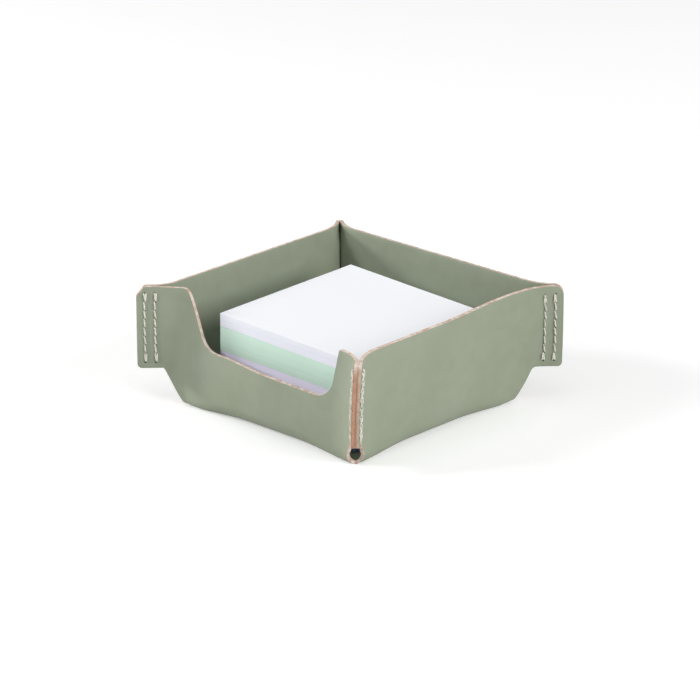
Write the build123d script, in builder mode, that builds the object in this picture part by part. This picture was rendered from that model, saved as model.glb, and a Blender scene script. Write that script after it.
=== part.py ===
from build123d import *
import os
from math import radians, sqrt, tan

# A desk tray for memo paper, in millimetres and degrees. One leather blank is cut, folded up on its four
# sides, and its neighbouring walls are turned outwards at each corner and sewn face to face into a fin.
# A block of loose note sheets in several colours stands on the floor. The origin lies on the table under
# the middle of the floor, the wall with the finger scoop faces -Y, and +Z is up.

# Note paper, from the bottom of the block to its top sheet
paper_side = 90.0
blue_height = 16.1
lilac_height = 12.4
mint_height = 12.4
white_height = 6.3
sheet_thickness = 0.1
paper_turn = -1.1
paper_room = 25.4  # how much wider the floor is than the paper
paper_right_share = 0.55  # shares of the free room on one side by which the block stands off centre
paper_front_share = 0.43

# Leather blank and its folds, with each radius taken on the inner face
leather_thickness = 1.8
wall_height = 59.0
wall_lean = 6.3
front_lean = 2.0
fold_radius = 2.2
bend_radius = 8.0

# Finger scoop in the front wall
sill_height = 31.0
scoop_side_angle = 25.0
scoop_radius = 11.0
horn_width = 10.7  # rim left between the scoop and the inner corner of the tray
horn_radius = 3.5

# Sewn fins at the corners, measured along the diagonal of the tray
fin_width = 11.7  # past the inner corner of the rim at the back
fin_foot_height = 18.6
fin_foot_width = 12.0
fin_top_radius = 4.5
fin_foot_radius = 2.2
fin_root_radius = 2.0
corner_cut = 3.15  # how far the corner of the floor is cut back
seam_gap = 0.1

# Seams, each with two rows of stitches
row_margin = 4.4
row_spacing = 5.1
row_end_margin = 2.2
stitch_pitch = 4.5
thread_diameter = 0.7
strand_spacing = 0.4  # between the two strands of one thread that share a needle hole
thread_clearance = 0.05
tack_spacing = 0.55  # second strand beside the first and last stitch

# Cutting and selecting
overrun = 10.0
tolerance = 0.01

# Worked out from the sizes above
diagonal = sqrt(2)
floor_half = (paper_side + paper_room) / 2
outer_fold_radius = fold_radius + leather_thickness
outer_bend_radius = bend_radius - leather_thickness
pan_height = outer_fold_radius
leaf_face = seam_gap / 2 + leather_thickness
thread_radius = thread_diameter / 2
strand_bend = thread_radius + thread_clearance
needle_hole_radius = thread_radius + strand_spacing / 2 + thread_clearance
seam_length = wall_height - fin_foot_height - 2 * row_end_margin
stitch_count = round(seam_length / stitch_pitch)
stitch_length = seam_length / stitch_count


def side_inner(height):
    """Distance of the inner face of a side wall or the back wall from the middle, at a height."""
    return floor_half + height * tan(radians(wall_lean))


def front_inner(height):
    """Distance of the inner face of the front wall from the middle, at a height."""
    return floor_half + height * tan(radians(front_lean))


def reach(point):
    """Distance of a point from the middle, along the diagonal that it lies nearest to."""
    return (abs(point.X) + abs(point.Y)) / diagonal


tip_reach = diagonal * side_inner(wall_height) + fin_width
foot_reach = tip_reach - fin_foot_width
cut_reach = diagonal * (floor_half + leather_thickness) - corner_cut
scoop_top_half = side_inner(wall_height) - horn_width


def footprint(height, skin):
    """Plan of the tray at a height, out to a skin's thickness from the inner faces of its walls."""
    front = front_inner(height) + skin
    back = side_inner(height) + skin
    with Locations((0, (back - front) / 2)):
        Rectangle(2 * (side_inner(height) + skin), front + back)


def wall_section(inner, start, end):
    """Plan of one wall, seen with its outer face towards -Y, and of the fin leaves at its two ends.

    inner is the distance of its inner face from the middle, start and end are the half lengths of that face.
    """

    def face(skin, leaf, radius):
        """One face of the wall: a skin's thickness out from the inner face, and its leaf off the seam."""
        points = []
        for half, side in ((start, -1), (end, 1)):
            free = tip_reach - (half + inner) / diagonal
            tip = (side * (half + (free - leaf) / diagonal), -inner - (free + leaf) / diagonal)
            corner = (side * (half + skin - diagonal * leaf), -inner - skin)
            points += [tip, corner] if side < 0 else [corner, tip]
        FilletPolyline(*points, radius=radius)
        return points[0], points[-1]

    with BuildLine() as outline:
        inner_start, inner_end = face(0, seam_gap / 2, bend_radius)
        outer_start, outer_end = face(leather_thickness, leaf_face, outer_bend_radius)
        Line(inner_start, outer_start)
        Line(inner_end, outer_end)
    make_face(outline.edges())


def corner_name(x_side, y_side):
    """Name of a corner from the sides of the tray that meet there."""
    return ("front" if y_side < 0 else "back") + ("_left" if x_side < 0 else "_right")


def upright_plane(x_side, y_side):
    """Upright plane through the middle of the tray and a corner, with X along the diagonal and Y up."""
    return Plane((0, 0, 0), x_dir=(x_side, y_side, 0), z_dir=(y_side, -x_side, 0))


def fin_plane(x_side, y_side):
    """Middle plane of a fin, from the inner corner of the floor, with X along the diagonal and Y up the fin."""
    across = front_inner if y_side < 0 else side_inner
    bottom = Vector(x_side * side_inner(0), y_side * across(0), 0)
    top = Vector(x_side * side_inner(wall_height), y_side * across(wall_height), wall_height)
    outward = Vector(x_side, y_side, 0).normalized()
    return Plane(bottom, x_dir=outward, z_dir=outward.cross(top - bottom))


corners = [(-1, -1), (1, -1), (1, 1), (-1, 1)]
seam_rows = {
    "outer": tip_reach - row_margin - diagonal * floor_half,
    "inner": tip_reach - row_margin - row_spacing - diagonal * floor_half,
}
seam_bottom = fin_foot_height + row_end_margin
seam_top = wall_height - row_end_margin

# Space above the floor inside the folds
with BuildPart() as pan_hollow:
    for height in (leather_thickness, pan_height + overrun):
        with BuildSketch(Plane.XY.offset(height)):
            footprint(height, 0)
    loft(ruled=True)
    fillet(pan_hollow.edges().group_by(Axis.Z)[0], fold_radius)

# Leather blank: floor and folds first, then the walls with their fin leaves, then what is cut away
with BuildPart() as tray_blank:
    for height in (0, pan_height):
        with BuildSketch(Plane.XY.offset(height)):
            footprint(height, leather_thickness)
    loft(ruled=True)
    fillet(tray_blank.edges().group_by(Axis.Z)[0], outer_fold_radius)
    add(pan_hollow.part, mode=Mode.SUBTRACT)

    for turn, inner, start, end in (
        (0, front_inner, side_inner, side_inner),
        (90, side_inner, front_inner, side_inner),
        (180, side_inner, side_inner, side_inner),
        (270, side_inner, side_inner, front_inner),
    ):
        for height in (pan_height, wall_height):
            with BuildSketch(Plane.XY.offset(height).rotated((0, 0, turn))):
                wall_section(inner(height), start(height), end(height))
        loft(ruled=True)

    for corner in corners:
        with BuildSketch(upright_plane(*corner)) as notch:
            with BuildLine():
                Polyline(
                    (cut_reach, -overrun),
                    (cut_reach, pan_height),
                    (foot_reach, fin_foot_height),
                    (tip_reach + overrun, fin_foot_height),
                    (tip_reach + overrun, -overrun),
                    close=True,
                )
            make_face()
            fillet(notch.vertices().sort_by_distance((foot_reach, fin_foot_height))[0], fin_root_radius)
        extrude(amount=overrun, both=True, mode=Mode.SUBTRACT)

    with BuildSketch(Plane.XZ) as scoop:
        side_slope = tan(radians(scoop_side_angle))
        top_half = scoop_top_half + overrun * side_slope
        sill_half = scoop_top_half - (wall_height - sill_height) * side_slope
        with BuildLine():
            Polyline(
                (-sill_half, sill_height),
                (sill_half, sill_height),
                (top_half, wall_height + overrun),
                (-top_half, wall_height + overrun),
                close=True,
            )
        make_face()
        fillet(scoop.vertices().group_by(Axis.Y)[0], scoop_radius)
    extrude(amount=tip_reach, mode=Mode.SUBTRACT)

    def at_fin_tip(edge):
        """Whether an edge runs across the tip of a fin leaf."""
        return reach(edge.center()) > tip_reach - tolerance and edge.length < fin_top_radius

    def at_horn(edge):
        """Whether an edge runs across the rim where the scoop ends."""
        center = edge.center()
        at_rim = center.Y < 0 and abs(center.Z - wall_height) < tolerance
        return at_rim and abs(abs(center.X) - scoop_top_half) < tolerance

    fillet(tray_blank.edges().filter_by(at_fin_tip).group_by(Axis.Z)[-1], fin_top_radius)
    fillet(tray_blank.edges().filter_by(at_fin_tip).group_by(Axis.Z)[0], fin_foot_radius)
    fillet(tray_blank.edges().filter_by(at_horn), horn_radius)

    for corner in corners:
        with BuildSketch(fin_plane(*corner)):
            for row in seam_rows.values():
                holes = [(row, seam_bottom + index * stitch_length) for index in range(stitch_count + 1)]
                with Locations(*holes):
                    Circle(needle_hole_radius)
        extrude(amount=2 * leather_thickness, both=True, mode=Mode.SUBTRACT)

tray_blank.part.label = "tray_blank"

# One stitch, from the middle of the seam out through a needle hole, along the leather and back in
with BuildPart() as stitch:
    with BuildLine() as strand:
        first = strand_spacing / 2
        last = stitch_length - strand_spacing / 2
        height = leaf_face + thread_clearance + strand_bend
        FilletPolyline((first, 0), (first, height), (last, height), (last, 0), radius=strand_bend)
    with BuildSketch(Plane(strand.line @ 0, z_dir=strand.line % 0)):
        Circle(thread_radius)
    sweep()

# Second strand that locks the stitch at each end of a row
with BuildPart() as tack:
    with BuildSketch(Plane.YZ.offset(strand_spacing)):
        with Locations((height, tack_spacing)):
            Circle(thread_radius)
    extrude(amount=stitch_length - 2 * strand_spacing)

# Thread of one row on one face of a fin
with BuildPart() as row_thread:
    with Locations(*[(index * stitch_length, 0, 0) for index in range(stitch_count)]):
        add(stitch.part)
    with Locations((0, 0, 0), (seam_length - stitch_length, 0, 0)):
        add(tack.part)

os.makedirs("parts", exist_ok=True)
export_step(tray_blank.part, "parts/tray_blank.step")

# Needle threads show on the faces towards the front and the back, bobbin threads on those towards the sides
for corner in corners:
    fin = fin_plane(*corner)
    for row_name, row in seam_rows.items():
        for kind, side in (("needle", -corner[0] * corner[1]), ("bobbin", corner[0] * corner[1])):
            first_hole = fin.from_local_coords((row, seam_bottom if side > 0 else seam_top, 0))
            with BuildPart() as thread:
                with Locations(Plane(first_hole, x_dir=fin.y_dir * side, z_dir=fin.x_dir)):
                    add(row_thread.part)
            thread.part.label = f"{kind}_thread_{corner_name(*corner)}_{row_name}"
            export_step(thread.part, f"parts/{thread.part.label}.step")

# Loose sheets of each colour, stacked on the floor, and the single sheet on top
paper_x = paper_right_share * paper_room / 2
paper_y = -paper_front_share * paper_room / 2
paper_bottom = leather_thickness
for name, thickness in (
    ("blue_sheets", blue_height),
    ("lilac_sheets", lilac_height),
    ("mint_sheets", mint_height),
    ("white_sheets", white_height),
    ("top_sheet", sheet_thickness),
):
    with BuildPart() as sheets:
        with BuildSketch(Plane((paper_x, paper_y, paper_bottom)).rotated((0, 0, paper_turn))):
            Rectangle(paper_side, paper_side)
        extrude(amount=thickness)
    sheets.part.label = name
    export_step(sheets.part, f"parts/{name}.step")
    paper_bottom += thickness
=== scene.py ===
"""Looks of a folded leather memo tray and its block of note paper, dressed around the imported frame.

Sizes are in millimetres and degrees, and each finished mesh is brought to metres by the factor MM.
The origin lies on the table under the middle of the floor, the wall with the finger scoop faces -Y.
"""

import logging
import math
import random
from dataclasses import dataclass, field
from enum import Enum
from typing import Callable, Iterator, Sequence

import bmesh
import bpy
from mathutils import Matrix, Vector


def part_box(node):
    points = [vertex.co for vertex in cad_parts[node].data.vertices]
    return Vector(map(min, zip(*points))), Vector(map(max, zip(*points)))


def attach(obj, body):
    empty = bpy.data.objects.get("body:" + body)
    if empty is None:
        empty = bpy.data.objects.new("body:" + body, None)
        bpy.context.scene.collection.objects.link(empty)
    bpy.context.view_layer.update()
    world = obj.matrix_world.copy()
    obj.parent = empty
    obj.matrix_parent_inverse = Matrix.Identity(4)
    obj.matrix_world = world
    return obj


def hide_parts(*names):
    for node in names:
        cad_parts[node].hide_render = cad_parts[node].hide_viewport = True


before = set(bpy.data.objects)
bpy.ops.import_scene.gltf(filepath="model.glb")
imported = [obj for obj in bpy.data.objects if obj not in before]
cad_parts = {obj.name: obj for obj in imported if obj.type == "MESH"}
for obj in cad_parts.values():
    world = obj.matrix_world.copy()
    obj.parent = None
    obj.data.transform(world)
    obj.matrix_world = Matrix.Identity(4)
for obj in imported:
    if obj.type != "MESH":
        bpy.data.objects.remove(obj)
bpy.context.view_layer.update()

MM = 0.001
DIAGONAL = math.sqrt(2.0)
log = logging.getLogger("memo_tray")

Colour = tuple[float, float, float, float]
Socket = bpy.types.NodeSocket

WHITE: Colour = (1.0, 1.0, 1.0, 1.0)
RIM_SLOT = 1
HOLE_SLOT = 2


def clamp(value: float, low: float = 0.0, high: float = 1.0) -> float:
    """Keep a value between two limits."""
    return min(high, max(low, value))


def srgb(red: int, green: int, blue: int) -> Colour:
    """Turn a screen colour into the linear colour that a shader takes.

    Args:
        red: Red from 0 to 255.
        green: Green from 0 to 255.
        blue: Blue from 0 to 255.

    Returns:
        The linear colour with full opacity.
    """

    def linear(level: int) -> float:
        """Linear value of one channel."""
        share = level / 255
        return share / 12.92 if share <= 0.04045 else ((share + 0.055) / 1.055) ** 2.4

    return linear(red), linear(green), linear(blue), 1.0


def smooth_step(low: float, high: float, value: float) -> float:
    """Ease from 0 at low to 1 at high.

    Args:
        low: Where the step starts.
        high: Where the step ends.
        value: The place to look at.

    Returns:
        A share from 0 to 1 with level ends.
    """
    share = clamp((value - low) / (high - low))
    return share * share * (3 - 2 * share)


def lesser(first: float, second: float, sharpness: float = 3.0) -> float:
    """Softened minimum of two values, true where one of them is near zero or below it.

    Args:
        first: One value.
        second: The other value.
        sharpness: How closely it keeps to the smaller one.

    Returns:
        A value no larger than the smaller one.
    """
    small, large = sorted((first, second))
    if small <= 0:
        return small
    return (small**-sharpness + large**-sharpness) ** (-1 / sharpness)


class Shader:
    """A material's node tree, with short calls that add and join its nodes."""

    def __init__(self, name: str) -> None:
        """Start a material with one principled shader."""
        self.material = bpy.data.materials.new(name)
        self.material.use_nodes = True
        self.tree = self.material.node_tree
        self.surface = self.tree.nodes["Principled BSDF"]

    @staticmethod
    def fill(node: bpy.types.Node, values: dict) -> None:
        """Set a node's inputs by socket name, with _ for a space."""
        for name, value in values.items():
            node.inputs[name.replace("_", " ")].default_value = value

    def add(self, kind: str, settings: dict | None = None, **values) -> bpy.types.Node:
        """Add a node.

        Args:
            kind: The node's type name after ShaderNode.
            settings: The node's own properties by name.
            **values: Input values by socket name, with _ for a space.

        Returns:
            The new node.
        """
        node = self.tree.nodes.new("ShaderNode" + kind)
        for name, value in (settings or {}).items():
            setattr(node, name, value)
        self.fill(node, values)
        return node

    def join(self, source: Socket, target: Socket) -> None:
        """Link an output to an input."""
        self.tree.links.new(source, target)

    def place(self) -> Socket:
        """The place on the object, in metres."""
        return self.add("TexCoord").outputs["Object"]

    def noise(self, size: float, detail: float = 4.0) -> Socket:
        """Noise over the object.

        Args:
            size: Width of a feature in millimetres.
            detail: How many finer layers it has.

        Returns:
            The noise from 0 to 1.
        """
        texture = self.add("TexNoise", Scale=1 / (size * MM), Detail=detail)
        self.join(self.place(), texture.inputs["Vector"])
        return texture.outputs["Fac"]

    def ramp(self, value: Socket, *stops: tuple[float, Colour]) -> Socket:
        """Colours along a value.

        Args:
            value: The value to read.
            *stops: Places from 0 to 1 with their colours.

        Returns:
            The colour.
        """
        node = self.add("ValToRGB")
        elements = node.color_ramp.elements
        while len(elements) < len(stops):
            elements.new(1.0)
        for element, (place, colour) in zip(elements, stops):
            element.position = place
            element.color = colour
        self.join(value, node.inputs["Fac"])
        return node.outputs["Color"]

    def span(self, value: Socket, low: float, high: float) -> Socket:
        """Stretch a value that runs from 0 to 1 between two levels."""
        node = self.add("MapRange", To_Min=low, To_Max=high)
        self.join(value, node.inputs["Value"])
        return node.outputs["Result"]

    def weigh(self, value: Socket, share: float, rest: Socket) -> Socket:
        """Add a share of one value to another value."""
        node = self.add("Math", {"operation": "MULTIPLY_ADD"})
        self.join(value, node.inputs[0])
        node.inputs[1].default_value = share
        self.join(rest, node.inputs[2])
        return node.outputs["Value"]

    def bump(
        self, height: Socket, depth: float, strength: float, under: bpy.types.Node | None = None,
    ) -> bpy.types.Node:
        """Raise the surface by a height.

        Args:
            height: Height from 0 to 1.
            depth: Millimetres from the lowest to the highest place.
            strength: How much of it shows.
            under: A bump that lies below this one.

        Returns:
            The bump node.
        """
        node = self.add("Bump", Distance=depth * MM, Strength=strength)
        self.join(height, node.inputs["Height"])
        if under is not None:
            self.join(under.outputs["Normal"], node.inputs["Normal"])
        return node

    def dress(
        self, tint: Socket, roughness: Socket, relief: bpy.types.Node | None = None, **values,
    ) -> bpy.types.Material:
        """Join the parts of a look to the surface.

        Args:
            tint: The colour.
            roughness: The roughness.
            relief: The topmost bump.
            **values: Other values of the surface by socket name, with _ for a space.

        Returns:
            The finished material.
        """
        self.join(tint, self.surface.inputs["Base Color"])
        self.join(roughness, self.surface.inputs["Roughness"])
        if relief is not None:
            self.join(relief.outputs["Normal"], self.surface.inputs["Normal"])
        self.fill(self.surface, values)
        return self.material


@dataclass(frozen=True)
class LeatherFinish:
    """Smooth dyed leather, matt with a faint shine, mottled, with a fine pebbled grain."""

    name: str = "sage_leather"
    deep: Colour = srgb(144, 152, 131)
    base: Colour = srgb(149, 157, 137)
    pale: Colour = srgb(154, 161, 142)
    mottle: float = 34.0
    cloud: float = 7.0
    pebble: float = 0.55
    pore: float = 0.16
    grain_depth: float = 0.05
    roughness: tuple[float, float] = (0.5, 0.66)
    shine: float = 0.32
    cloud_share: float = 0.45
    mottle_share: float = 0.55
    tones: tuple[float, float, float] = (0.32, 0.5, 0.68)
    pebble_softness: float = 0.6
    pebble_strength: float = 0.5
    pore_strength: float = 0.35

    def material(self) -> bpy.types.Material:
        """Make the material."""
        shader = Shader(self.name)
        clouds = shader.noise(self.cloud, detail=6.0)
        mottle = shader.span(shader.noise(self.mottle, detail=2.0), 0.0, self.mottle_share)
        blend = shader.weigh(clouds, self.cloud_share, mottle)
        tint = shader.ramp(blend, *zip(self.tones, (self.deep, self.base, self.pale)))
        cells = shader.add(
            "TexVoronoi", {"feature": "SMOOTH_F1"},
            Scale=1 / (self.pebble * MM), Smoothness=self.pebble_softness,
        )
        shader.join(shader.place(), cells.inputs["Vector"])
        grain = shader.bump(cells.outputs["Distance"], self.grain_depth, self.pebble_strength)
        dots = shader.noise(self.pore, detail=2.0)
        pores = shader.bump(dots, self.grain_depth / 2, self.pore_strength, grain)
        roughness = shader.span(clouds, *self.roughness)
        return shader.dress(tint, roughness, pores, Specular_IOR_Level=self.shine)


@dataclass(frozen=True)
class CutEdgeFinish:
    """Raw cut leather edge, pale and pinkish on the rims, browner with painted shade at the fins'
    ends.
    """

    name: str = "cut_leather_edge"
    pale: Colour = srgb(230, 214, 202)
    blush: Colour = srgb(200, 170, 154)
    # Colours of the fins' ends: browner end grain, darkened further by painted shade.
    end_pale: Colour = srgb(214, 172, 148)
    end_dark: Colour = srgb(172, 122, 98)
    fibre: float = 0.5
    fleck: float = 2.6
    roughness: tuple[float, float] = (0.78, 0.95)
    shine: float = 0.2
    rim_tones: tuple[float, float] = (0.38, 0.62)
    end_tones: tuple[float, float] = (0.3, 0.7)
    nap_depth: float = 0.12
    nap_strength: float = 0.5

    def material(self) -> bpy.types.Material:
        """Make the material."""
        shader = Shader(self.name)
        fibres = shader.noise(self.fibre, detail=5.0)
        flecks = shader.noise(self.fleck, detail=4.0)
        rim = shader.ramp(flecks, *zip(self.rim_tones, (self.blush, self.pale)))
        end = shader.ramp(fibres, *zip(self.end_tones, (self.end_dark, self.end_pale)))
        # Mixes in the browner end colour, which also paints shade on the fins' upright ends below the
        # rim.
        shade_and_grain_attribute = shader.add("Attribute", {"attribute_name": "end_grain"})
        mix = shader.add("Mix", {"data_type": "RGBA"})
        shader.join(shade_and_grain_attribute.outputs["Fac"], mix.inputs["Factor"])
        shader.join(rim, mix.inputs["A"])
        shader.join(end, mix.inputs["B"])
        roughness = shader.span(flecks, *self.roughness)
        nap = shader.bump(fibres, self.nap_depth, self.nap_strength)
        return shader.dress(mix.outputs["Result"], roughness, nap, Specular_IOR_Level=self.shine)


@dataclass(frozen=True)
class HoleShadeFinish:
    """Walls of the needle holes, painted dark as the shade inside the holes."""

    name: str = "pierced_leather"
    dark: Colour = srgb(52, 44, 36)
    light: Colour = srgb(84, 72, 60)
    fleck: float = 0.6
    tones: tuple[float, float] = (0.3, 0.7)
    roughness: tuple[float, float] = (0.75, 0.95)

    def material(self) -> bpy.types.Material:
        """Make the material."""
        shader = Shader(self.name)
        flecks = shader.noise(self.fleck, detail=4.0)
        tint = shader.ramp(flecks, *zip(self.tones, (self.dark, self.light)))
        return shader.dress(tint, shader.span(flecks, *self.roughness))


@dataclass(frozen=True)
class ThreadFinish:
    """Waxed cream sewing thread."""

    name: str = "cream_thread"
    shade: Colour = srgb(222, 219, 204)
    light: Colour = srgb(246, 244, 234)
    fibre: float = 0.25
    fleck: float = 3.0
    tones: tuple[float, float] = (0.35, 0.65)
    roughness: tuple[float, float] = (0.55, 0.75)
    sheen: float = 0.15
    fuzz_depth: float = 0.04
    fuzz_strength: float = 0.5

    def material(self) -> bpy.types.Material:
        """Make the material."""
        shader = Shader(self.name)
        flecks = shader.noise(self.fleck, detail=5.0)
        tint = shader.ramp(flecks, *zip(self.tones, (self.shade, self.light)))
        roughness = shader.span(flecks, *self.roughness)
        fibres = shader.noise(self.fibre, detail=3.0)
        fuzz = shader.bump(fibres, self.fuzz_depth, self.fuzz_strength)
        return shader.dress(tint, roughness, fuzz, Sheen_Weight=self.sheen)


@dataclass(frozen=True)
class PaperFinish:
    """Uncoated note paper in one colour, whose sheets differ a little in tone along their edges."""

    name: str
    shade: Colour
    light: Colour
    fibre: float = 0.35
    cloud: float = 9.0
    cloud_share: float = 0.35
    tones: tuple[float, float] = (0.1, 0.9)
    roughness: tuple[float, float] = (0.82, 0.94)
    shine: float = 0.25
    tooth_depth: float = 0.02
    tooth_strength: float = 0.4

    def material(self) -> bpy.types.Material:
        """Make the material."""
        shader = Shader(self.name)
        fibres = shader.noise(self.fibre, detail=4.0)
        clouds = shader.noise(self.cloud, detail=5.0)
        tone = shader.add("Attribute", {"attribute_name": "tone"})
        blend = shader.weigh(clouds, self.cloud_share, tone.outputs["Fac"])
        tint = shader.ramp(blend, *zip(self.tones, (self.shade, self.light)))
        roughness = shader.span(fibres, *self.roughness)
        tooth = shader.bump(fibres, self.tooth_depth, self.tooth_strength)
        return shader.dress(tint, roughness, tooth, Specular_IOR_Level=self.shine)


def finish_object(
    bm: bmesh.types.BMesh, name: str, *materials: bpy.types.Material,
) -> bpy.types.Object:
    """Turn a bmesh in millimetres into an object in metres.

    Args:
        bm: The mesh, which is freed.
        name: The piece's name.
        *materials: Its materials in slot order.

    Returns:
        The linked object, at the origin.
    """
    bmesh.ops.scale(bm, vec=(MM, MM, MM), verts=bm.verts)
    mesh = bpy.data.meshes.new(name)
    bm.to_mesh(mesh)
    bm.free()
    for material in materials:
        mesh.materials.append(material)
    piece = bpy.data.objects.new(name, mesh)
    bpy.context.scene.collection.objects.link(piece)
    return piece


def shade_smooth(mesh: bpy.types.Mesh, angle: float) -> None:
    """Shade a mesh smooth except at edges sharper than an angle."""
    mesh.shade_smooth()
    mesh.set_sharp_from_angle(angle=math.radians(angle))


@dataclass(frozen=True)
class Profile:
    """Height of a cut edge along a wall: straight runs joined by arcs.

    Each corner is its place along the wall, its height and the radius of its arc.
    """

    corners: tuple[tuple[float, float, float], ...]

    def height(self, place: float) -> float:
        """Height of the edge at a place along the wall."""
        points = [Vector(corner[:2]) for corner in self.corners]
        for index in range(1, len(points) - 1):
            corner, radius = points[index], self.corners[index][2]
            before = (points[index - 1] - corner).normalized()
            after = (points[index + 1] - corner).normalized()
            half_angle = before.angle(after) / 2
            run = radius / math.tan(half_angle)
            if corner.x + before.x * run <= place <= corner.x + after.x * run:
                centre = corner + (before + after).normalized() * radius / math.sin(half_angle)
                rise = math.sqrt(max(0.0, radius**2 - (place - centre.x) ** 2))
                return centre.y + math.copysign(rise, corner.y - centre.y)
        for start, end in zip(points, points[1:]):
            if place <= end.x:
                return start.y + (end.y - start.y) * (place - start.x) / (end.x - start.x)
        return points[-1].y


class Wall(Enum):
    """The four walls, by the way that their outer faces look."""

    FRONT = (0, -1)
    RIGHT = (1, 0)
    BACK = (0, 1)
    LEFT = (-1, 0)

    @property
    def outward(self) -> Vector:
        """Direction that the outer face looks."""
        return Vector((*self.value, 0))

    @property
    def along(self) -> Vector:
        """Direction to the right, seen from outside."""
        return Vector((-self.value[1], self.value[0], 0))

    def neighbour(self, side: int) -> "Wall":
        """The wall at the left (-1) or right (1) end."""
        step = self.along * side
        return Wall((round(step.x), round(step.y)))

    def corner(self, side: int) -> "Corner":
        """The corner at the left (-1) or right (1) end."""
        spot = self.outward + self.along * side
        return Corner((round(spot.x), round(spot.y)))


class Corner(Enum):
    """The four corners of the tray, by their sides in X and Y."""

    FRONT_LEFT = (-1, -1)
    FRONT_RIGHT = (1, -1)
    BACK_RIGHT = (1, 1)
    BACK_LEFT = (-1, 1)

    def leaves(self) -> dict[str, tuple[Wall, int]]:
        """The two leaves sewn together here, wall and end, by the thread that shows on them."""
        found = {}
        for wall in Wall:
            for side in (-1, 1):
                if wall.corner(side) is self:
                    found["needle" if wall in (Wall.FRONT, Wall.BACK) else "bobbin"] = (wall, side)
        return found


@dataclass(frozen=True)
class Settle:
    """How the sewn leather has settled away from its drawn shape.

    The rim has moved at each corner. The left half of the front wall bulges inwards, where the
    horn stays near the plane of its fin. The right wall is dented beside the fin at its back end,
    and the fin at the near corner is a little crooked.
    """

    shifts: dict[Corner, tuple[float, float]] = field(default_factory=lambda: {
        Corner.FRONT_LEFT: (-1.7, 1.1), Corner.FRONT_RIGHT: (0.95, -3.55),
        Corner.BACK_RIGHT: (0.4, 0.9), Corner.BACK_LEFT: (-0.1, -2.7),
    })
    half: float = 58.0
    ground: float = 2.0
    full_height: float = 45.0
    rim_height: float = 59.0
    bulge: float = 6.2
    bulge_edge: tuple[float, float] = (4.0, -30.0)
    horn_slope: float = 0.9
    horn_start: float = -66.0
    horn_full: float = -57.0
    front_edge: tuple[float, float] = (-44.0, -53.0)
    dent: float = 2.5
    dent_rise: tuple[float, float] = (-5.0, 40.0)
    dent_fall: tuple[float, float] = (72.0, 40.0)
    right_edge: tuple[float, float] = (44.0, 53.0)
    crook: float = -0.8
    crook_start: float = 94.0
    crook_full: float = 102.0

    def rise(self, z: float) -> float:
        """Share of the rim's shift that a height has."""
        share = clamp((z - self.ground) / (self.full_height - self.ground))
        return math.sin(math.pi / 2 * share)

    def horn(self, x: float) -> float:
        """How far the plane of the left fin lies inside the drawn front wall."""
        ramp = self.horn_full - self.horn_start
        gone = max(0.0, x - self.horn_start)
        if gone < ramp:
            return self.horn_slope * gone**2 / (2 * ramp)
        return self.horn_slope * (gone - ramp / 2)

    def corner_shift(self, point: Vector) -> Vector:
        """Shift of the rim at a place, between the shifts of the corners."""
        x, y = (clamp(place / self.half, -1.0, 1.0) for place in (point.x, point.y))
        shift = Vector((0, 0, 0))
        for corner, move in self.shifts.items():
            share = (1 + corner.value[0] * x) * (1 + corner.value[1] * y) / 4
            shift += Vector((*move, 0)) * share
        return shift

    def near_fin(self, point: Vector) -> Vector:
        """Extra shift across the fin at the near corner, whose tip is bent aside."""
        reach = (point.x - point.y) / DIAGONAL
        share = max(0.0, reach - self.crook_start) / (self.crook_full - self.crook_start)
        return Vector((1, 1, 0)).normalized() * self.crook * share**2

    def front_in(self, point: Vector) -> float:
        """How far the left half of the front wall bulges inwards."""
        height = clamp((point.z - self.ground) / (self.rim_height - self.ground))
        bulge = self.bulge * height * smooth_step(*self.bulge_edge, point.x)
        return smooth_step(*self.front_edge, point.y) * lesser(self.horn(point.x), bulge)

    def right_in(self, point: Vector) -> float:
        """How far the right wall is dented inwards beside the fin at its back end."""
        along = smooth_step(*self.dent_rise, point.y) * smooth_step(*self.dent_fall, point.y)
        return self.dent * along * smooth_step(*self.right_edge, point.x) * self.rise(point.z)

    def move(self, point: Vector) -> Vector:
        """Where a point of the drawn tray has gone."""
        moved = point + self.corner_shift(point) * self.rise(point.z) + self.near_fin(point)
        return moved + Vector((-self.right_in(point), self.front_in(point), 0))


@dataclass(frozen=True)
class Notch:
    """Cut below a fin: along the foot of the fin and down a slanting line to the floor.

    The reach is the distance from the middle of the tray along the diagonal, and the bow is how
    far the slanting line stands out half way up.
    """

    foot_height: float
    foot_width: float
    softness: float
    floor_reach: float
    floor_corner: float
    bow: float = 0.0

    def reach(self, height: float, tip_reach: float) -> float:
        """Reach of the slanting line at a height."""
        share = height / self.foot_height
        root = tip_reach - self.foot_width
        bow = self.bow * 4 * max(0.0, share * (1 - share))
        return self.floor_reach + (root - self.floor_reach) * share + bow

    def soften(self, height: float) -> float:
        """Height of the cut edge where the slanting line has a height, soft at the root."""
        gap = abs(self.foot_height - height)
        soft = max(self.softness - gap, 0.0) ** 2 / (4 * self.softness)
        return min(self.foot_height, height) - soft


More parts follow.
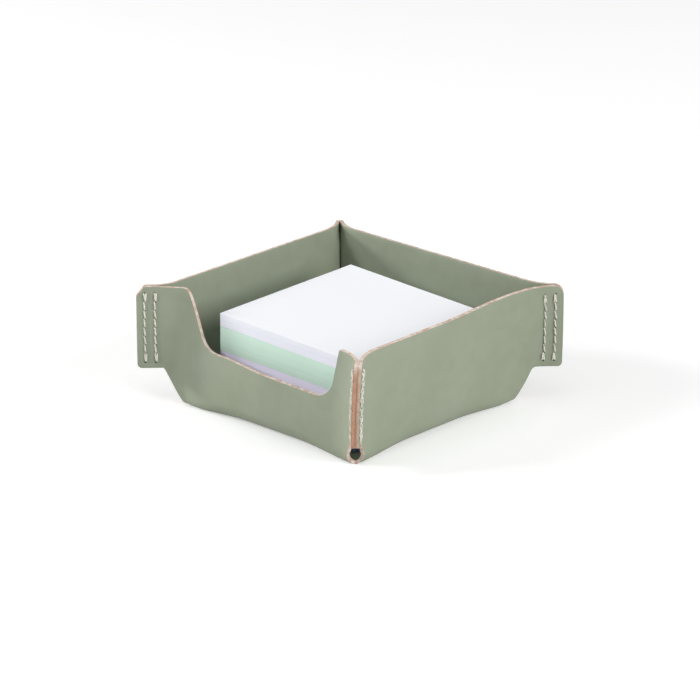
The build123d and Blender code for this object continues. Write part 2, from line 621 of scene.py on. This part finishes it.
@dataclass
class LeatherTray:
    """The one leather blank: floor, folds, four walls and the eight leaves of the sewn fins.

    Each rim bend is the radius at the rim and the height from which the bend changes to it. The
    insets of a fin are measured along the leather from its tip.
    """

    finish: LeatherFinish
    edge: CutEdgeFinish
    hole_shade: HoleShadeFinish
    settle: Settle
    thickness: float = field(default_factory=lambda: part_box("blue_sheets")[0].z / MM)
    wall_height: float = field(default_factory=lambda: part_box("tray_blank")[1].z / MM)
    floor_half: float = 57.7
    wall_lean: float = 6.3
    front_lean: float = 2.0
    corner_fold: float = 0.9
    slack_fold: float = 7.6
    slack_edge: float = 0.3
    foot_bend: float = 5.5
    foot_rise: tuple[float, float] = (0.5, 6.5)
    seam_bends: dict[Corner, float] = field(default_factory=lambda: {
        Corner.FRONT_LEFT: 20.0, Corner.FRONT_RIGHT: 36.0,
        Corner.BACK_RIGHT: 26.0, Corner.BACK_LEFT: 5.5,
    })
    rim_bends: dict[Corner, tuple[float, float]] = field(default_factory=lambda: {
        Corner.FRONT_LEFT: (16.0, 30.0), Corner.FRONT_RIGHT: (26.0, 30.0),
        Corner.BACK_RIGHT: (26.0, 30.0), Corner.BACK_LEFT: (22.0, 47.0),
    })
    notches: dict[Corner, Notch] = field(default_factory=lambda: {
        Corner.FRONT_LEFT: Notch(
            foot_height=18.1, foot_width=12.7, softness=0.5,
            floor_reach=78.6, floor_corner=53.2, bow=1.3,
        ),
        Corner.FRONT_RIGHT: Notch(
            foot_height=16.5, foot_width=12.0, softness=1.6, floor_reach=79.4, floor_corner=57.2,
        ),
        Corner.BACK_RIGHT: Notch(
            foot_height=17.5, foot_width=14.3, softness=3.0,
            floor_reach=78.1, floor_corner=53.0, bow=1.0,
        ),
        Corner.BACK_LEFT: Notch(
            foot_height=18.6, foot_width=12.0, softness=2.0, floor_reach=79.8, floor_corner=55.5,
        ),
    })
    sill_height: float = 31.0
    scoop_angles: tuple[float, float] = (25.0, 15.0)
    scoop_radii: tuple[float, float] = (10.0, 15.0)
    horn_width: float = 10.7
    horn_radii: tuple[float, float] = (4.2, 1.3)
    fin_width: float = 11.7
    fin_top_radius: float = 4.5
    fin_foot_radius: float = 2.2
    clipped_tip: tuple[float, float] = (3.8, 5.0)
    pull_edge: float = 0.82
    seam_gap: float = 0.06
    edge_round: float = 0.22
    edge_segments: int = 2
    edge_angle: float = 60.0
    smooth_angle: float = 35.0
    weld: float = 0.02
    probe: float = 0.2
    needle_hole: float = 0.55
    hole_sides: int = 12
    hole_layers: int = 6
    end_below: tuple[float, float] = (1.5, 5.0)
    end_back: tuple[float, float] = (2.6, 1.2)
    front_end: float = 1.0
    side_end: float = 0.55
    rim_rounds: int = 12
    cut_rounds: int = 30
    fine_from: float = 0.6
    fold_rows: int = 8
    wall_rows: int = 26
    coarse_columns: int = 10
    fine_columns: int = 25
    fin_columns: int = 22
    tip_columns: int = 8

    def __post_init__(self) -> None:
        """Work out the places that several walls share."""
        rim_half = self.inner(Wall.BACK, self.wall_height)
        self.tip_reach = DIAGONAL * rim_half + self.fin_width
        self.leaf_middle = (self.seam_gap + self.thickness) / 2
        top_half = rim_half - self.horn_width
        left, right = (
            top_half - (self.wall_height - self.sill_height) * math.tan(math.radians(angle))
            for angle in self.scoop_angles
        )
        self.scoop = Profile((
            (-self.tip_reach, self.wall_height, 0),
            (-top_half, self.wall_height, self.horn_radii[0]),
            (-left, self.sill_height, self.scoop_radii[0]),
            (right, self.sill_height, self.scoop_radii[1]),
            (top_half, self.wall_height, self.horn_radii[1]),
            (self.tip_reach, self.wall_height, 0),
        ))

    def lean(self, wall: Wall) -> float:
        """Angle by which a wall leans outwards, in radians."""
        return math.radians(self.front_lean if wall is Wall.FRONT else self.wall_lean)

    def inner(self, wall: Wall, height: float) -> float:
        """Distance of a wall's inner face from the middle at a height."""
        return self.floor_half + height * math.tan(self.lean(wall))

    def bend(self, corner: Corner, height: float) -> float:
        """Radius of the bend from a wall into its leaf: tight at the foot, wide along the seam."""
        seam = self.seam_bends[corner]
        rim, start = self.rim_bends[corner]
        foot = self.foot_bend + (seam - self.foot_bend) * smooth_step(*self.foot_rise, height)
        radius = foot + (rim - seam) * smooth_step(start, self.wall_height, height)
        return radius - self.thickness / 2

    def runs(self, wall: Wall, side: int, height: float) -> tuple[float, float, float]:
        """Straight part of a wall from its middle, bend and straight part of its leaf.

        Args:
            wall: The wall.
            side: Its left (-1) or right (1) end.
            height: Height above the table.

        Returns:
            The three lengths.
        """
        inner = self.inner(wall, height)
        half = self.inner(wall.neighbour(side), height)
        radius = self.bend(wall.corner(side), height)
        tangent = radius * math.tan(math.pi / 8)
        corner = half + self.thickness / 2 - DIAGONAL * self.leaf_middle
        free = self.tip_reach - (half + inner) / DIAGONAL
        leaf = free + self.leaf_middle - self.thickness / DIAGONAL
        return corner - tangent, radius * math.pi / 4, leaf - tangent

    def spot(self, wall: Wall, side: int, length: float, height: float) -> Vector:
        """Point of the drawn middle surface at a length along a wall from its middle."""
        straight, arc, _ = self.runs(wall, side, height)
        radius = self.bend(wall.corner(side), height)
        turn = clamp(length - straight, 0.0, arc) / radius
        rest = max(0.0, length - straight - arc) / DIAGONAL
        along = min(length, straight) + radius * math.sin(turn) + rest
        out = self.inner(wall, height) + self.thickness / 2 + radius * (1 - math.cos(turn)) + rest
        return wall.along * (side * along) + wall.outward * out + Vector((0, 0, height))

    def leaf_spot(self, wall: Wall, side: int, inset: float, height: float) -> Vector:
        """Settled point of a leaf's middle surface, at an inset from the tip of the fin."""
        length = sum(self.runs(wall, side, height)) - inset
        return self.settle.move(self.spot(wall, side, length, height))

    def leaf_normal(self, wall: Wall, side: int, inset: float, height: float) -> Vector:
        """Direction straight out of the outer face of a leaf."""
        here = self.leaf_spot(wall, side, inset, height)
        up = self.leaf_spot(wall, side, inset, height + self.probe) - here
        back = self.leaf_spot(wall, side, inset + self.probe, height) - here
        normal = up.cross(back).normalized()
        return normal if normal.dot(wall.outward) > 0 else -normal

    def fold_bend(self, share: float) -> float:
        """Radius of a fold at a share of its half length, tight at the ends, slack between them."""
        slack = 1 - smooth_step(self.slack_edge, 1.0, abs(share))
        return self.corner_fold + (self.slack_fold - self.corner_fold) * slack + self.thickness / 2

    def fold_start(self, wall: Wall, share: float) -> float:
        """Distance from the middle at which the floor starts to fold up into a wall."""
        lean = self.lean(wall)
        corner = self.floor_half + self.thickness / 2 * (1 + math.tan(lean))
        drawn = corner - self.fold_bend(share) * math.tan((math.pi / 2 - lean) / 2)
        pulled = self.notches[wall.corner(1 if share > 0 else -1)].floor_corner
        return drawn + (pulled - drawn) * smooth_step(self.pull_edge, 1.0, abs(share))

    def fold_top(self, wall: Wall, share: float) -> tuple[float, float]:
        """Distance from the middle of the tray and height at which a fold ends in its wall."""
        height = self.thickness / 2 + self.fold_bend(share) * (1 - math.sin(self.lean(wall)))
        return self.inner(wall, height) + self.thickness / 2, height

    def fold_end(self, wall: Wall, side: int, height: float) -> float:
        """Half length of a fold at a height, up to the cut at the corner."""
        notch = self.notches[wall.corner(side)]
        out, top = self.fold_top(wall, side)
        last = DIAGONAL * notch.reach(top, self.tip_reach) - out
        first = notch.floor_corner
        share = (height - self.thickness / 2) / (top - self.thickness / 2)
        return first + (last - first) * min(1.0, share)

    def fold_spot(self, wall: Wall, share: float, turn: float) -> Vector:
        """Point of a fold.

        Args:
            wall: The wall that it leads to.
            share: Share of the half length of the fold, negative to the left.
            turn: Share of the whole fold, from 0 on the floor to 1 in the wall.

        Returns:
            The point of the middle surface.
        """
        side = 1 if share > 0 else -1
        radius = self.fold_bend(share)
        angle = turn * (math.pi / 2 - self.lean(wall))
        height = self.thickness / 2 + radius * (1 - math.cos(angle))
        start = self.fold_start(wall, share)
        out, top = self.fold_top(wall, share)
        gone = (out - start) * math.sin(angle) / math.cos(self.lean(wall))
        end_height = self.thickness / 2 + self.fold_bend(1.0) * (1 - math.cos(angle))
        half = self.fold_end(wall, side, end_height)
        point = wall.along * (share * half) + wall.outward * (start + gone) + Vector((0, 0, height))
        end = self.fold_end(wall, side, self.wall_height) * abs(share)
        last = wall.along * (side * end) + wall.outward * out + Vector((0, 0, top))
        return point + (self.spot(wall, side, end, top) - last) * turn**2

    def fin_inset(self, wall: Wall, side: int) -> float:
        """Distance from the tip of a fin to the foot of the notch, along the leather."""
        _, top = self.fold_top(wall, side)
        return sum(self.runs(wall, side, top)) - self.fold_end(wall, side, self.wall_height)

    def top(self, wall: Wall, length: Callable[[float], float]) -> float:
        """Height of the rim on a line that runs up a wall.

        Args:
            wall: The wall.
            length: Length along the wall from its middle, at a height.

        Returns:
            The height of the rim.
        """
        height = self.wall_height
        if wall is Wall.FRONT:
            for _ in range(self.rim_rounds):
                height = self.scoop.height(length(height))
        return height

    def middle_shares(self) -> list[float]:
        """Shares of the half length at which a wall's columns stand, closer beside the scoop."""
        coarse, fine = self.coarse_columns, self.fine_columns
        right = [self.fine_from * index / coarse for index in range(1, coarse)]
        right += [self.fine_from + (1 - self.fine_from) * index / fine for index in range(fine + 1)]
        return [-share for share in reversed(right)] + [0.0] + right

    def middle_column(self, wall: Wall, share: float) -> list[Vector]:
        """Points of a fold and its wall, upwards in a column at a share of the half length."""
        side = 1 if share > 0 else -1
        inset = self.fin_inset(wall, side)

        def length(height: float) -> float:
            """Length of the column from the middle of the wall at a height."""
            return abs(share) * (sum(self.runs(wall, side, height)) - inset)

        turns = [row / self.fold_rows for row in range(self.fold_rows + 1)]
        points = [self.fold_spot(wall, share, turn) for turn in turns]
        bottom = points[-1].z
        top = self.top(wall, lambda height: side * length(height))
        for row in range(1, self.wall_rows + 1):
            height = bottom + (top - bottom) * row / self.wall_rows
            points.append(self.spot(wall, side, length(height), height))
        return points

    def fin_insets(self, wall: Wall, side: int) -> list[float]:
        """Distances from the tip at which the columns of a fin stand, closer round the tip."""
        foot, tip = self.fin_inset(wall, side), self.fin_top_radius
        count = self.fin_columns
        insets = [foot + (tip - foot) * index / count for index in range(count)]
        for index in range(self.tip_columns + 1):
            insets.append(tip * (1 - math.sin(math.pi / 2 * index / self.tip_columns)))
        return insets

    def cut_height(self, wall: Wall, side: int, inset: float) -> float:
        """Height of the slanting cut below a fin at an inset from the tip, along the leather."""
        notch = self.notches[wall.corner(side)]
        low, high = 0.0, self.wall_height
        for _ in range(self.cut_rounds):
            height = (low + high) / 2
            point = self.spot(wall, side, sum(self.runs(wall, side, height)) - inset, height)
            if abs(point.x) + abs(point.y) > DIAGONAL * notch.reach(height, self.tip_reach):
                low = height
            else:
                high = height
        return (low + high) / 2

    def fin_column(self, wall: Wall, side: int, inset: float) -> list[Vector]:
        """Points of a fin leaf, upwards in a column at an inset from the tip."""
        corner = wall.corner(side)
        notch = self.notches[corner]
        root = self.fin_inset(wall, side)

        def rounding(radius: float) -> float:
            """How far a rounded tip draws the edge back at this inset."""
            short = radius - min(inset, radius)
            return radius - math.sqrt(radius**2 - short**2)

        def length(height: float) -> float:
            """Length of the column from the middle of the wall at a height."""
            return sum(self.runs(wall, side, height)) - inset

        bottom = notch.soften(self.cut_height(wall, side, inset)) + rounding(self.fin_foot_radius)
        miss = self.fold_top(wall, side)[1] - notch.soften(self.cut_height(wall, side, root))
        bottom += miss * max(0.0, (inset - notch.foot_width) / (root - notch.foot_width))
        top = self.top(wall, lambda height: side * length(height))
        if corner is Corner.FRONT_LEFT:
            width, drop = self.clipped_tip
            top -= drop * max(0.0, 1 - inset / width)
        else:
            top -= rounding(self.fin_top_radius)
        rows = range(self.wall_rows + 1)
        heights = [bottom + (top - bottom) * row / self.wall_rows for row in rows]
        return [self.spot(wall, side, length(height), height) for height in heights]

    def panel(self, bm: bmesh.types.BMesh, columns: Sequence[Sequence[Vector]]) -> None:
        """Lay a grid of leather and move its points to their settled places.

        Args:
            bm: The mesh that it joins.
            columns: Places of the points, upwards in each column.
        """
        wide, tall = len(columns) - 1, len(columns[0]) - 1
        grid = bmesh.ops.create_grid(bm, x_segments=wide, y_segments=tall, size=0.5)
        for vert in grid["verts"]:
            column, row = round((vert.co.x + 0.5) * wide), round((vert.co.y + 0.5) * tall)
            vert.co = self.settle.move(columns[column][row])

    def blank(self) -> bmesh.types.BMesh:
        """The folded middle surface of the blank, without thickness."""
        bm = bmesh.new()
        shares = self.middle_shares()

        def floor_spot(x: float, y: float) -> Vector:
            """Point of the floor at shares of its half sides."""
            across = self.fold_start(Wall.RIGHT if x > 0 else Wall.LEFT, y if x > 0 else -y)
            along = self.fold_start(Wall.BACK if y > 0 else Wall.FRONT, -x if y > 0 else x)
            return Vector((x * across, y * along, self.thickness / 2))

        self.panel(bm, [[floor_spot(x, y) for y in shares] for x in shares])
        for wall in Wall:
            self.panel(bm, [self.middle_column(wall, share) for share in shares])
            for side in (-1, 1):
                insets = self.fin_insets(wall, side)
                self.panel(bm, [self.fin_column(wall, side, inset) for inset in insets])
        bmesh.ops.remove_doubles(bm, verts=bm.verts, dist=self.weld)
        bmesh.ops.recalc_face_normals(bm, faces=bm.faces)
        return bm

    def needle_holes(
        self, rows: Sequence[float], heights: dict[Corner, list[float]],
    ) -> bmesh.types.BMesh:
        """Round cutters through both leaves of each fin, where the needle went.

        Args:
            rows: Insets of the seam rows from the tip of a fin.
            heights: Heights of the needle holes at each corner.

        Returns:
            The mesh of the cutters.
        """
        bm = bmesh.new()
        radius = self.needle_hole
        for corner in Corner:
            first, second = corner.leaves().values()
            for inset in rows:
                for height in heights[corner]:
                    start = self.leaf_spot(*first, inset, height)
                    end = self.leaf_spot(*second, inset, height)
                    middle = (start + end) / 2
                    turn = (end - start).to_track_quat("Z", "Y").to_matrix().to_4x4()
                    bmesh.ops.create_cone(
                        bm, cap_ends=True, segments=self.hole_sides, radius1=radius, radius2=radius,
                        depth=self.hole_layers * self.thickness,
                        matrix=Matrix.Translation(middle) @ turn,
                    )
        # The cutters' faces become the hole walls, which carry the painted shade.
        for face in bm.faces:
            face.material_index = HOLE_SLOT
        return bm

    def build(
        self, rows: Sequence[float], heights: dict[Corner, list[float]],
    ) -> bpy.types.Object:
        """Make the tray with its thickness, rounded cut edges and needle holes.

        Args:
            rows: Insets of the seam rows from the tip of a fin.
            heights: Heights of the needle holes at each corner.

        Returns:
            The dressed piece.
        """
        materials = self.finish.material(), self.edge.material(), self.hole_shade.material()
        draft = finish_object(self.blank(), "tray_draft", *materials)
        cutter = finish_object(self.needle_holes(rows, heights), "needle_cutter", *materials)
        wall = draft.modifiers.new("leather_thickness", "SOLIDIFY")
        wall.thickness = self.thickness * MM
        wall.offset = 0
        wall.material_offset_rim = RIM_SLOT
        soften = draft.modifiers.new("edge_round", "BEVEL")
        soften.width = self.edge_round * MM
        soften.segments = self.edge_segments
        soften.limit_method = "ANGLE"
        soften.angle_limit = math.radians(self.edge_angle)
        holes = draft.modifiers.new("needle_holes", "BOOLEAN")
        holes.operation = "DIFFERENCE"
        holes.solver = "EXACT"
        holes.object = cutter
        bpy.context.view_layer.update()
        made = draft.evaluated_get(bpy.context.evaluated_depsgraph_get())
        mesh = bpy.data.meshes.new_from_object(made)
        mesh.name = "leather_tray"
        piece = bpy.data.objects.new("leather_tray", mesh)
        bpy.context.scene.collection.objects.link(piece)
        bpy.data.objects.remove(draft)
        bpy.data.objects.remove(cutter)
        self.mark_ends(mesh)
        shade_smooth(mesh, self.smooth_angle)
        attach(piece, "tray")
        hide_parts("tray_blank")
        return piece

    def mark_ends(self, mesh: bpy.types.Mesh) -> None:
        """Mark the fins' ends, where the cut edge is browner and darkened by painted shade below the
        rim.
        """
        shade_and_grain_marks = mesh.attributes.new("end_grain", "FLOAT", "POINT")
        heights = [self.wall_height - gap for gap in self.end_below]
        reaches = [self.tip_reach - gap for gap in self.end_back]
        for vert, mark in zip(mesh.vertices, shade_and_grain_marks.data):
            reach = (abs(vert.co.x) + abs(vert.co.y)) / DIAGONAL / MM
            tone = self.front_end if abs(vert.co.y) > abs(vert.co.x) else self.side_end
            # Below the rim the upright ends get the browner colour together with painted shade.
            below = smooth_step(*heights, vert.co.z / MM)
            mark.value = tone * below * smooth_step(*reaches, reach)


def turn_along(line: Sequence[Vector], index: int) -> Matrix:
    """Turn that brings Z along a line at one of its points."""
    ahead = line[min(index + 1, len(line) - 1)] - line[max(index - 1, 0)]
    return ahead.to_track_quat("Z", "X").to_matrix()


@dataclass
class Seam:
    """The double seam of every fin: two rows of lockstitch, a thread on each face of each row."""

    tray: LeatherTray
    finish: ThreadFinish
    row_margin: float = 3.9
    row_spacing: float = 5.1
    spans: dict[Corner, tuple[float, float]] = field(default_factory=lambda: {
        Corner.FRONT_LEFT: (21.2, 55.7), Corner.FRONT_RIGHT: (18.2, 54.0),
        Corner.BACK_RIGHT: (20.7, 54.8), Corner.BACK_LEFT: (20.8, 55.5),
    })
    stitches: int = 8
    thread_radius: float = 0.42
    crown: float = 1.15
    plunge: int = 12
    hole_share: float = 0.05
    plies: int = 3
    ply_offset: float = 0.5
    ply_radius: float = 0.56
    lay: float = 2.6
    slant: float = 0.28
    unevenness: float = 0.1
    tack_spacing: float = 0.6
    rings: int = 14
    sides: int = 5
    seed: int = 4

    def __post_init__(self) -> None:
        """Work out the rows and the needle holes."""
        self.rows = {"outer": self.row_margin, "inner": self.row_margin + self.row_spacing}
        holes = range(self.stitches + 1)
        self.heights = {
            corner: [low + (high - low) * hole / self.stitches for hole in holes]
            for corner, (low, high) in self.spans.items()
        }
        self.draw = random.Random(self.seed)

    def strand(
        self, leaf: tuple[Wall, int], inset: float, low: float, high: float, slant: float,
    ) -> list[Vector]:
        """Middle line of one stitch, out of a needle hole, along the leather and into the next.

        Args:
            leaf: Wall and end of the wall that the leaf belongs to.
            inset: Inset of the stitch from the tip of the fin.
            low: Height of the lower hole.
            high: Height of the upper hole.
            slant: How far each end leans aside.

        Returns:
            The points of the line.
        """
        top = self.tray.thickness / 2 + self.thread_radius * self.crown
        run = 1 - 2 * self.hole_share
        points = []
        for index in range(self.rings + 1):
            share = (1 - math.cos(math.pi * index / self.rings)) / 2
            aside = 2 * share - 1
            lift = top - top * abs(aside) ** self.plunge
            height = low + (high - low) * (self.hole_share + run * share)
            place = inset + slant * aside
            point = self.tray.leaf_spot(*leaf, place, height)
            points.append(point + self.tray.leaf_normal(*leaf, place, height) * lift)
        return points

    def sweep(self, bm: bmesh.types.BMesh, points: Sequence[Vector], radius: float) -> None:
        """Run a round ply along a line of points."""
        disc = bmesh.ops.create_circle(bm, cap_ends=False, radius=radius, segments=self.sides)
        ring = disc["verts"]
        edges = list({edge for vert in ring for edge in vert.link_edges})
        bmesh.ops.contextual_create(bm, geom=edges)
        poses = [
            Matrix.Translation(point) @ turn_along(points, index).to_4x4()
            for index, point in enumerate(points)
        ]
        bmesh.ops.transform(bm, matrix=poses[0], verts=ring)
        for before, after in zip(poses, poses[1:]):
            grown = bmesh.ops.extrude_edge_only(bm, edges=edges)["geom"]
            ring = [item for item in grown if isinstance(item, bmesh.types.BMVert)]
            edges = [item for item in grown if isinstance(item, bmesh.types.BMEdge)]
            bmesh.ops.transform(bm, matrix=after @ before.inverted(), verts=ring)
        bmesh.ops.contextual_create(bm, geom=edges)

    def twist(self, bm: bmesh.types.BMesh, line: Sequence[Vector]) -> None:
        """Lay the plies of the thread round each other along a line."""
        start = self.draw.uniform(0, 2 * math.pi)
        offset = self.thread_radius * self.ply_offset
        for ply in range(self.plies):
            points = []
            gone = 0.0
            for index, point in enumerate(line):
                if index:
                    gone += (point - line[index - 1]).length
                angle = start + 2 * math.pi * (ply / self.plies + gone / self.lay)
                aside = Vector((math.cos(angle), math.sin(angle), 0)) * offset
                points.append(point + turn_along(line, index) @ aside)
            self.sweep(bm, points, self.thread_radius * self.ply_radius)

    def thread(self, leaf: tuple[Wall, int], inset: float) -> bmesh.types.BMesh:
        """The thread of one row on one leaf."""
        bm = bmesh.new()
        last = self.stitches - 1
        heights = self.heights[leaf[0].corner(leaf[1])]
        for index, (low, high) in enumerate(zip(heights, heights[1:])):
            slant = leaf[1] * (self.slant + self.draw.uniform(-self.unevenness, self.unevenness))
            place = inset + self.draw.uniform(-self.unevenness, self.unevenness)
            self.twist(bm, self.strand(leaf, place, low, high, slant))
            if index in (0, last):
                self.twist(bm, self.strand(leaf, place + self.tack_spacing, low, high, -slant / 2))
        bmesh.ops.recalc_face_normals(bm, faces=bm.faces)
        return bm

    def build(self) -> Iterator[bpy.types.Object]:
        """Make the sixteen threads, one after the other."""
        material = self.finish.material()
        for corner in Corner:
            for row, inset in self.rows.items():
                for kind, leaf in corner.leaves().items():
                    name = f"{kind}_thread_{corner.name.lower()}_{row}"
                    piece = finish_object(self.thread(leaf, inset), f"twisted_{name}", material)
                    piece.data.shade_smooth()
                    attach(piece, "tray")
                    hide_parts(name)
                    yield piece


@dataclass
class PaperStack:
    """Loose sheets of one colour in the block of note paper."""

    node: str
    body: str
    slot: str
    finish: PaperFinish
    side: float = 90.0
    turn: float = -1.1
    sheet: float = 0.1
    air: float = 0.004
    drift: float = 0.05
    twist: float = 0.03
    tilt: float = 1.1
    curl: float = 0.0
    curl_power: int = 4
    cuts: int = 0
    tone_range: float = 0.65
    seed: int = 7

    def settle(self, point: Vector, centre: Vector) -> Vector:
        """Where a point of a sheet lies, tilted towards the near corner, more the higher it is."""
        bottom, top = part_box("blue_sheets")[0].z / MM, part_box("top_sheet")[1].z / MM
        share = (point.z - bottom) / (top - bottom)
        away = (centre.x - point.x + point.y - centre.y) / DIAGONAL
        rim = max(abs(point.x - centre.x), abs(point.y - centre.y)) / (self.side / 2)
        tilt = share * math.tan(math.radians(self.tilt)) * away
        curl = self.curl * rim**self.curl_power * max(0.0, away) / self.side
        return point + Vector((0, 0, tilt + curl))

    def build(self) -> bpy.types.Object:
        """Make the stack, sheet by sheet, in the place of its node."""
        low, high = (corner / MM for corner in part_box(self.node))
        draw = random.Random(f"{self.node}{self.seed}")
        count = max(1, round((high.z - low.z) / self.sheet))
        rise = (high.z - low.z) / count
        centre = (low + high) / 2
        bm = bmesh.new()
        tone = bm.verts.layers.float.new("tone")
        for index in range(count):
            place = Vector((
                centre.x + draw.uniform(-self.drift, self.drift),
                centre.y + draw.uniform(-self.drift, self.drift),
                low.z + rise * (index + 0.5),
            ))
            angle = self.turn + draw.uniform(-self.twist, self.twist)
            turn = Matrix.Rotation(math.radians(angle), 4, "Z")
            size = Matrix.Diagonal((self.side, self.side, rise - self.air, 1))
            shade = draw.uniform(0.0, self.tone_range)
            pose = Matrix.Translation(place) @ turn @ size
            sheet = bmesh.ops.create_cube(bm, size=1, matrix=pose)
            for vert in sheet["verts"]:
                vert[tone] = shade
        if self.cuts:
            bmesh.ops.subdivide_edges(bm, edges=bm.edges, cuts=self.cuts, use_grid_fill=True)
        for vert in bm.verts:
            vert.co = self.settle(vert.co, centre)
        piece = finish_object(bm, f"loose_{self.node}", self.finish.material())
        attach(piece, self.body)
        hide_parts(self.node)
        return piece


@dataclass
class Softbox:
    """A square lamp that looks at the tray."""

    name: str
    azimuth: float
    elevation: float
    size: float
    power: float
    distance: float = 1500.0

    def build(self, target: Vector) -> None:
        """Hang the lamp."""
        lamp = bpy.data.lights.new(self.name, "AREA")
        lamp.size = self.size * MM
        lamp.energy = self.power
        stand = bpy.data.objects.new(self.name, lamp)
        way = toward(self.azimuth, self.elevation)
        stand.location = target * MM + way * self.distance * MM
        stand.rotation_euler = way.to_track_quat("Z", "Y").to_euler()
        bpy.context.scene.collection.objects.link(stand)


def toward(azimuth: float, elevation: float) -> Vector:
    """Direction from the tray to a place at an azimuth, from -Y towards +X, and an elevation."""
    turn, rise = math.radians(azimuth), math.radians(elevation)
    level = math.cos(rise)
    return Vector((math.sin(turn) * level, -math.cos(turn) * level, math.sin(rise)))


@dataclass
class Studio:
    """White table, soft lamps and the camera."""

    azimuth: float = 43.22
    elevation: float = 20.84
    distance: float = 2388.5
    focus_height: float = 30.0
    focal_pixels: float = 4933.4
    image_pixels: float = 700.0
    sensor: float = 36.0
    drop_pixels: float = 6.74
    right_pixels: float = 0.38
    far_clip: float = 100000.0
    floor_side: float = 9000.0
    floor_cells: int = 4
    floor_colour: Colour = srgb(228, 228, 228)
    floor_roughness: float = 0.9
    floor_glow: float = 0.36
    sky: float = 0.11
    lamps: tuple[Softbox, ...] = (
        Softbox("top_lamp", azimuth=20.0, elevation=78.0, size=1300.0, power=5.4),
        Softbox("key_lamp", azimuth=-30.0, elevation=28.0, size=350.0, power=8.6),
        Softbox("left_lamp", azimuth=-66.0, elevation=18.0, size=220.0, power=11.0),
        Softbox("right_lamp", azimuth=94.0, elevation=25.0, size=900.0, power=16.6),
        Softbox("back_lamp", azimuth=180.0, elevation=35.0, size=900.0, power=3.4),
    )

    def floor(self) -> bpy.types.Object:
        """Lay the table."""
        bm = bmesh.new()
        cells = self.floor_cells
        bmesh.ops.create_grid(bm, x_segments=cells, y_segments=cells, size=self.floor_side / 2)
        shader = Shader("white_table")
        shader.fill(shader.surface, {
            "Base Color": self.floor_colour, "Roughness": self.floor_roughness,
            "Specular IOR Level": 0.0, "Emission Color": WHITE,
        })
        path = shader.add("LightPath")
        seen = path.outputs["Is Camera Ray"]
        for ray in ("Is Glossy Ray", "Is Transmission Ray"):
            seen = shader.weigh(path.outputs[ray], 1.0, seen)
        glow = shader.span(seen, 0.0, self.floor_glow)
        shader.join(glow, shader.surface.inputs["Emission Strength"])
        table = finish_object(bm, "table", shader.material)
        return table

    def world(self) -> None:
        """Fill the room with even light."""
        world = bpy.data.worlds.new("room")
        world.use_nodes = True
        back = world.node_tree.nodes["Background"]
        back.inputs["Color"].default_value = WHITE
        back.inputs["Strength"].default_value = self.sky
        bpy.context.scene.world = world

    def camera(self) -> None:
        """Set up the camera at the viewing angle."""
        focus = Vector((0, 0, self.focus_height))
        view = toward(self.azimuth, self.elevation)
        turn = view.to_track_quat("Z", "Y")
        scale = self.distance / self.focal_pixels
        aim = focus + turn @ Vector((self.right_pixels, -self.drop_pixels, 0)) * scale
        place = focus + view * self.distance
        lens = bpy.data.cameras.new("camera")
        lens.sensor_width = self.sensor
        lens.lens = self.focal_pixels * self.sensor / self.image_pixels
        lens.clip_end = self.far_clip * MM
        eye = bpy.data.objects.new("camera", lens)
        eye.location = place * MM
        eye.rotation_euler = (place - aim).to_track_quat("Z", "Y").to_euler()
        bpy.context.scene.collection.objects.link(eye)
        bpy.context.scene.camera = eye

    def build(self) -> None:
        """Set up everything around the tray."""
        self.floor()
        self.world()
        for lamp in self.lamps:
            lamp.build(Vector((0, 0, self.focus_height)))
        self.camera()
        bpy.context.scene.view_settings.view_transform = "Standard"


PAPERS = (
    PaperStack("blue_sheets", "blue_block", "blue_paper",
               PaperFinish("blue_paper", srgb(150, 172, 205), srgb(168, 190, 220))),
    PaperStack("lilac_sheets", "lilac_block", "lilac_paper",
               PaperFinish("lilac_paper", srgb(231, 224, 244), srgb(241, 236, 251))),
    PaperStack("mint_sheets", "mint_block", "mint_paper",
               PaperFinish("mint_paper", srgb(204, 231, 216), srgb(218, 239, 227))),
    # One white paper in two copies: the white sheets' sides carry painted shade and are darker than
    # the top sheet.
    PaperStack("white_sheets", "white_block", "white_paper",
               PaperFinish("white_paper", srgb(231, 233, 242), srgb(242, 243, 250))),
    # The top sheet's copy of the white paper is painted lighter, as painted light on the block's top
    # face.
    PaperStack("top_sheet", "top_note", "white_paper",
               PaperFinish("lit_top_paper", srgb(245, 247, 251), srgb(251, 252, 255)),
               curl=0.5, cuts=9),
)


def main() -> None:
    """Build every piece in order and report it."""
    logging.basicConfig(level=logging.INFO, format="%(message)s")
    Studio().build()
    tray = LeatherTray(LeatherFinish(), CutEdgeFinish(), HoleShadeFinish(), Settle())
    seam = Seam(tray, ThreadFinish())
    pieces = [tray.build(list(seam.rows.values()), seam.heights)]
    pieces += seam.build()
    pieces += [stack.build() for stack in PAPERS]
    for piece in pieces:
        log.info("%s: %d faces", piece.name, len(piece.data.polygons))


if __name__ == "__main__":
    main()
